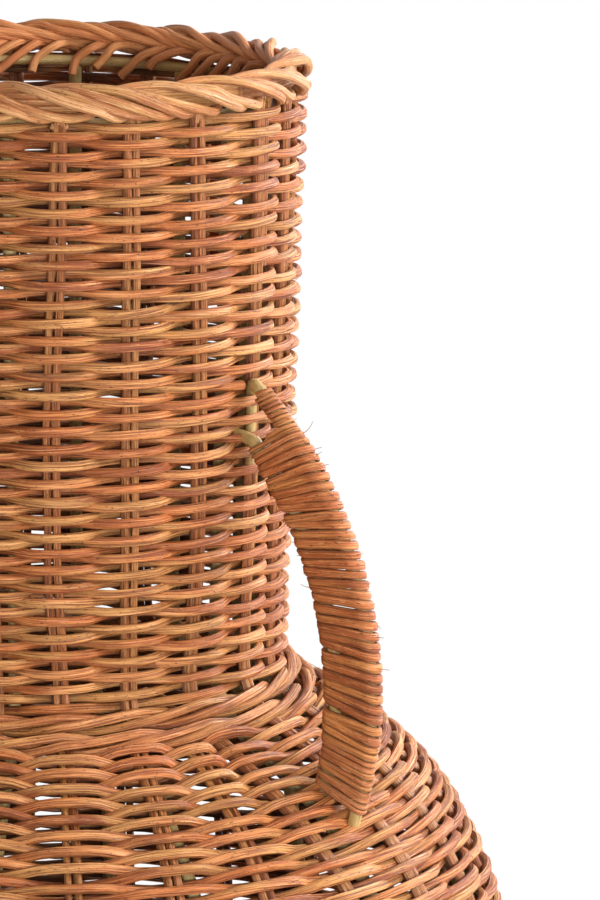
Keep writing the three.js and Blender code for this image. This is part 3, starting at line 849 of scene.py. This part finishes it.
# Millimetres along the handle, with the pitch of the turns in millimetres, their slope across it, and where
# they go over from the outer cane to both
pitch_stops = [13, 22, 106, 116, 131]
pitches = [1.55, 2.9, 3.05, 2, 1.7]
slope_stops = [13, 24, 38, 62, 112, 122, 132]
slopes = [0.16, 0.2, 0.36, 0.24, 0.17, 0.08, 0.12]
both_stops = [11.5, 13]
fray_start = 0.3 * mm
fray_length = 5 * mm
fray_count = 110
# Its shaded colour is painted shade in the grooves between the strip's turns, along its edges
wrap_finish = cane_finish(
    "wrap_cane_finish", streaks=0.6, stain=0.45,
    dark=(100, 42, 15), middle=(194, 109, 57), pale=(234, 168, 110),
    gold=(208, 135, 71), pore=(42, 17, 7), stained=(42, 17, 7),
)
wrap_rng = np.random.default_rng(64)
turns = []
place = wrap_top
while place < wrap_foot:
    pitch = np.interp(place / mm, pitch_stops, pitches) * mm
    turns.append((place, pitch * wrap_rng.uniform(0.93, 1.09)))
    place += turns[-1][1]
half_turn = 9
turn_points = 2 * half_turn
turn_angle = np.radians(np.append(np.linspace(-90, 90, half_turn), np.linspace(90, 270, half_turn)))
turn_side = np.repeat([1, -1], half_turn)
turn_share = np.arange(turn_points) / turn_points
wrap_along, wrap_across, wrap_beside, wrap_width = [], [], [], []
for place, pitch in turns:
    both = np.interp(place / mm, both_stops, [0, 1])
    slope = np.interp(place / mm, slope_stops, slopes) + wrap_rng.normal(0, 0.035)
    width = pitch * wrap_rng.uniform(0.94, 1.03)
    reach = core_cane / 2 + strip_share * width / 2 + wrap_rng.uniform(0, 0.25) * mm
    turn_middle = core_spacing / 2 * (1 - both + both * turn_side)
    across = turn_middle + reach * np.cos(turn_angle)
    wrap_along.append(place + turn_share * pitch + slope * (across - core_spacing / 2))
    wrap_across.append(across)
    wrap_beside.append(reach * np.sin(turn_angle))
    wrap_width.append(np.full(turn_points, width))
points, ways = on_handle(*(np.concatenate(values) for values in (wrap_along, wrap_across, wrap_beside)))
heading = np.gradient(points, axis=0)
heading /= np.linalg.norm(heading, axis=1)[:, None]


def square_to(heading, direction):
    """The unit vector square to a heading that is nearest to a direction."""
    flat = direction - heading * np.sum(heading * direction, axis=1)[:, None]
    return flat / np.linalg.norm(flat, axis=1)[:, None]


# The strip lies flat on the canes, and leans a little from turn to turn
upright = square_to(heading, np.tile([0.0, 0.0, 1.0], (len(points), 1)))
wanted = square_to(heading, -ways)
tilt = np.arctan2(np.sum(heading * np.cross(upright, wanted), axis=1), np.sum(upright * wanted, axis=1))
leaning = wrap_rng.normal(0, 0.16, 2 * len(turns))
tilt += np.interp(np.arange(len(points)) / half_turn, np.arange(len(leaning)), leaning)
widths = np.concatenate(wrap_width)
strips = []
for part in np.array_split(np.arange(len(points)), strip_count):
    reached = np.arange(part[0], min(part[-1] + 2, len(points)))
    tone = wrap_rng.uniform(0.2, 0.75)
    radii = widths[reached] / 2
    strips.append({"points": points[reached], "radii": radii, "tone": tone, "tilt": tilt[reached]})
middles, ways = on_handle(np.concatenate(wrap_along), 0 * tilt, 0 * tilt)
outs = (points - middles) / np.linalg.norm(points - middles, axis=1)[:, None]
strips += loose_fibres(wrap_rng, points + fray_start * outs, outs, fray_length, fray_count)
edge_shading_start = 0.6


def strip_edge_shading(places, lay):
    """How near points are to an edge of the strip, from 0 to 1: painted shade along the edges, in the grooves
    between turns.
    """
    return np.clip((np.abs(lay[:, 2]) - edge_shading_start) / (1 - edge_shading_start), 0, 1)


piece = lay_canes("handle_wrap_strip", strips, strip_cane, strip_share, "Z_UP", strip_edge_shading)
piece.data.materials.append(wrap_finish)
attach(piece, "root")
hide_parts("handle_wrap")


# Studio. A white floor that keeps the vase's shadow and fades into a white background, soft lamps in front,
# on the right and behind, as for a shop's picture, and the camera in front, a little above the rim.

camera_angle = math.radians(-51.5)
camera_distance = 1.6
camera_height = border_high.z + 0.18976
camera_dip = math.radians(11.193)
camera_swing = math.radians(2.895)
camera = bpy.data.objects.new("camera", bpy.data.cameras.new("camera"))
camera.data.sensor_fit = "VERTICAL"
camera.data.sensor_height = 36
camera.data.lens = 205
camera.location = Vector((math.cos(camera_angle), math.sin(camera_angle), 0)) * camera_distance
camera.location.z = camera_height
camera.rotation_euler = (math.pi / 2 - camera_dip, 0, camera_angle + math.pi / 2 - camera_swing)
bpy.context.scene.collection.objects.link(camera)
bpy.context.scene.camera = camera
bpy.context.scene.view_settings.view_transform = "Standard"
lamp_aim = Vector((0, 0, 0.28))


def lamp(name, right_of_camera, distance, height, width, tall, watts):
    """A soft light, placed by its angle from the camera and aimed at the foot of the neck."""
    light = bpy.data.lights.new(name, "AREA")
    light.shape = "RECTANGLE"
    light.size = width
    light.size_y = tall
    light.energy = watts
    lamp_object = bpy.data.objects.new(name, light)
    angle = camera_angle + math.radians(right_of_camera)
    lamp_object.location = (distance * math.cos(angle), distance * math.sin(angle), height)
    lamp_way = lamp_aim - lamp_object.location
    lamp_object.rotation_euler = lamp_way.to_track_quat("-Z", "Y").to_euler()
    bpy.context.scene.collection.objects.link(lamp_object)


lamp("key_light", right_of_camera=72, distance=1.5, height=1, width=0.7, tall=0.7, watts=27.5)
lamp("back_light", right_of_camera=125, distance=1.5, height=1, width=0.8, tall=0.8, watts=31)
lamp("fill_light", right_of_camera=12, distance=1.7, height=0.57, width=1, tall=0.22, watts=20.5)


def seen_directly(tree):
    """1 for rays that come straight from the camera, a reflection or a clear material, and 0 for light."""
    path = tree.nodes.new("ShaderNodeLightPath")
    total = path.outputs["Is Camera Ray"]
    for label in ("Is Glossy Ray", "Is Transmission Ray"):
        either = tree.nodes.new("ShaderNodeMath")
        either.operation = "MAXIMUM"
        link_all(tree, (total, either.inputs[0]), (path.outputs[label], either.inputs[1]))
        total = either.outputs[0]
    return total


world = bpy.data.worlds.new("studio")
world.use_nodes = True
bpy.context.scene.world = world
ambient = world.node_tree.nodes["Background"]
ambient.inputs["Color"].default_value = (1, 0.88, 0.76, 1)
ambient.inputs["Strength"].default_value = 0.2
white = world.node_tree.nodes.new("ShaderNodeBackground")
white.inputs["Color"].default_value = (1, 1, 1, 1)
white.inputs["Strength"].default_value = 1
world_mix = world.node_tree.nodes.new("ShaderNodeMixShader")
link_all(
    world.node_tree,
    (seen_directly(world.node_tree), world_mix.inputs[0]),
    (ambient.outputs[0], world_mix.inputs[1]),
    (white.outputs[0], world_mix.inputs[2]),
    (world_mix.outputs[0], world.node_tree.nodes["World Output"].inputs["Surface"]),
)

floor_mesh = bpy.data.meshes.new("floor")
floor_bm = bmesh.new()
bmesh.ops.create_circle(floor_bm, cap_ends=True, segments=96, radius=1.4)
floor_bm.to_mesh(floor_mesh)
floor_bm.free()
floor = bpy.data.objects.new("floor", floor_mesh)
bpy.context.scene.collection.objects.link(floor)
floor_finish = bpy.data.materials.new("floor_finish")
floor_finish.use_nodes = True
floor_tree = floor_finish.node_tree
floor_shader = floor_tree.nodes["Principled BSDF"]
floor_shader.inputs["Base Color"].default_value = (0.86, 0.86, 0.86, 1)
floor_shader.inputs["Roughness"].default_value = 0.9
floor_shader.inputs["Specular IOR Level"].default_value = 0.1
floor_white = floor_tree.nodes.new("ShaderNodeEmission")
floor_white.inputs["Color"].default_value = (1, 1, 1, 1)
floor_place = floor_tree.nodes.new("ShaderNodeTexCoord")
floor_reach = floor_tree.nodes.new("ShaderNodeVectorMath")
floor_reach.operation = "LENGTH"
floor_fade = floor_tree.nodes.new("ShaderNodeMapRange")
floor_fade.interpolation_type = "SMOOTHSTEP"
floor_fade.inputs["From Min"].default_value = 0.3
floor_fade.inputs["From Max"].default_value = 0.95
floor_share = floor_tree.nodes.new("ShaderNodeMath")
floor_share.operation = "MULTIPLY"
floor_mix = floor_tree.nodes.new("ShaderNodeMixShader")
link_all(
    floor_tree,
    (floor_place.outputs["Object"], floor_reach.inputs[0]),
    (floor_reach.outputs["Value"], floor_fade.inputs["Value"]),
    (floor_fade.outputs[0], floor_share.inputs[0]),
    (seen_directly(floor_tree), floor_share.inputs[1]),
    (floor_share.outputs[0], floor_mix.inputs[0]),
    (floor_shader.outputs[0], floor_mix.inputs[1]),
    (floor_white.outputs[0], floor_mix.inputs[2]),
    (floor_mix.outputs[0], floor_tree.nodes["Material Output"].inputs["Surface"]),
)
floor_mesh.materials.append(floor_finish)
